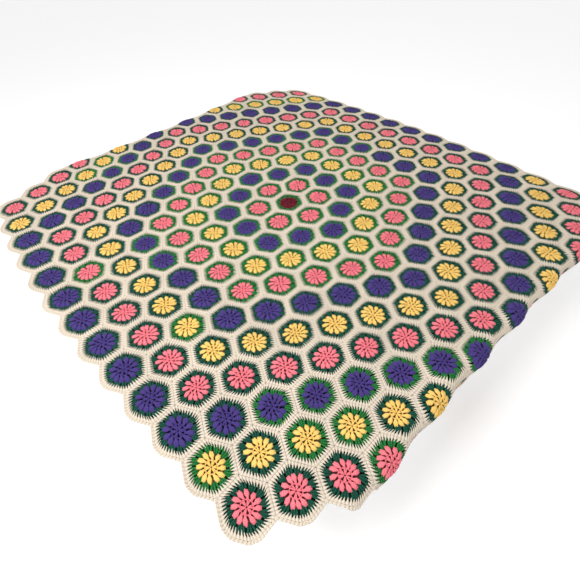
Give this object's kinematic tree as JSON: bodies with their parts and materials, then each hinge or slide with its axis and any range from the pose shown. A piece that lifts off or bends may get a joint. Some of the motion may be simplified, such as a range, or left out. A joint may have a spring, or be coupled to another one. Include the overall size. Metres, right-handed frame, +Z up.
{
  "type": "crocheted hexagon motif blanket",
  "caption": "Crocheted blanket of joined hexagon flower motifs, laid over a bed with both pointed ends hanging down.",
  "frame": {"origin": "middle of the underside of the level part, where it rests on the bed", "axes": "+Z up, +X along the blanket to its near hanging end, +Y across it to the far long side"},
  "size_m": [1.9415, 1.8938, 0.3917],
  "materials": {
    "cream_yarn": "soft matt crocheted acrylic yarn, warm cream",
    "leaf_green_yarn": "soft matt crocheted acrylic yarn, mid leaf green",
    "deep_green_yarn": "soft matt crocheted acrylic yarn, deep blue-green",
    "pink_yarn": "soft matt crocheted acrylic yarn, coral pink",
    "purple_yarn": "soft matt crocheted acrylic yarn, violet",
    "yellow_yarn": "soft matt crocheted acrylic yarn, buttercup yellow",
    "burgundy_yarn": "soft matt crocheted acrylic yarn, burgundy"
  },
  "bodies": {
    "spread": {"edging": "cream_yarn", "join_rows": "cream_yarn", "ring_00_cream_rounds": "cream_yarn", "ring_00_flowers": "burgundy_yarn", "ring_00_leaf_rounds": "leaf_green_yarn", "ring_01_cream_rounds": "cream_yarn", "ring_01_flowers": "pink_yarn", "ring_01_leaf_rounds": "leaf_green_yarn", "ring_02_cream_rounds": "cream_yarn", "ring_02_flowers": "purple_yarn", "ring_02_leaf_rounds": "leaf_green_yarn", "ring_03_cream_rounds": "cream_yarn", "ring_03_flowers": "yellow_yarn", "ring_03_leaf_rounds": "leaf_green_yarn", "ring_04_cream_rounds": "cream_yarn", "ring_04_flowers": "pink_yarn", "ring_04_leaf_rounds": "leaf_green_yarn", "ring_05_cream_rounds": "cream_yarn", "ring_05_flowers": "purple_yarn", "ring_05_leaf_rounds": "leaf_green_yarn", "ring_06_cream_rounds": "cream_yarn", "ring_06_flowers": "yellow_yarn", "ring_06_leaf_rounds": "deep_green_yarn", "ring_07_cream_rounds": "cream_yarn", "ring_07_flowers": "pink_yarn", "ring_07_leaf_rounds": "deep_green_yarn", "ring_08_cream_rounds": "cream_yarn", "ring_08_flowers": "purple_yarn", "ring_08_leaf_rounds": "deep_green_yarn", "ring_09_cream_rounds": "cream_yarn", "ring_09_flowers": "yellow_yarn", "ring_09_leaf_rounds": "deep_green_yarn", "ring_10_cream_rounds": "cream_yarn", "ring_10_flowers": "pink_yarn", "ring_10_leaf_rounds": "deep_green_yarn"},
    "near_drop": {"near_drop_edging": "cream_yarn", "near_drop_join_rows": "cream_yarn", "near_drop_ring_08_cream_rounds": "cream_yarn", "near_drop_ring_08_flowers": "purple_yarn", "near_drop_ring_08_leaf_rounds": "deep_green_yarn", "near_drop_ring_09_cream_rounds": "cream_yarn", "near_drop_ring_09_flowers": "yellow_yarn", "near_drop_ring_09_leaf_rounds": "deep_green_yarn", "near_drop_ring_10_cream_rounds": "cream_yarn", "near_drop_ring_10_flowers": "pink_yarn", "near_drop_ring_10_leaf_rounds": "deep_green_yarn"},
    "far_drop": {"far_drop_edging": "cream_yarn", "far_drop_join_rows": "cream_yarn", "far_drop_ring_08_cream_rounds": "cream_yarn", "far_drop_ring_08_flowers": "purple_yarn", "far_drop_ring_08_leaf_rounds": "deep_green_yarn", "far_drop_ring_09_cream_rounds": "cream_yarn", "far_drop_ring_09_flowers": "yellow_yarn", "far_drop_ring_09_leaf_rounds": "deep_green_yarn", "far_drop_ring_10_cream_rounds": "cream_yarn", "far_drop_ring_10_flowers": "pink_yarn", "far_drop_ring_10_leaf_rounds": "deep_green_yarn"}
  },
  "joints": [
    {"name": "near_end_fold", "type": "hinge", "parent": "spread", "child": "near_drop", "pos_m": [0.9423, 0, -0.00645], "axis": [0, -1, 0], "range_deg": [0, 90]},
    {"name": "far_end_fold", "type": "hinge", "parent": "spread", "child": "far_drop", "pos_m": [-0.9723, 0, -0.00645], "axis": [0, 1, 0], "range_deg": [0, 90]}
  ]
}
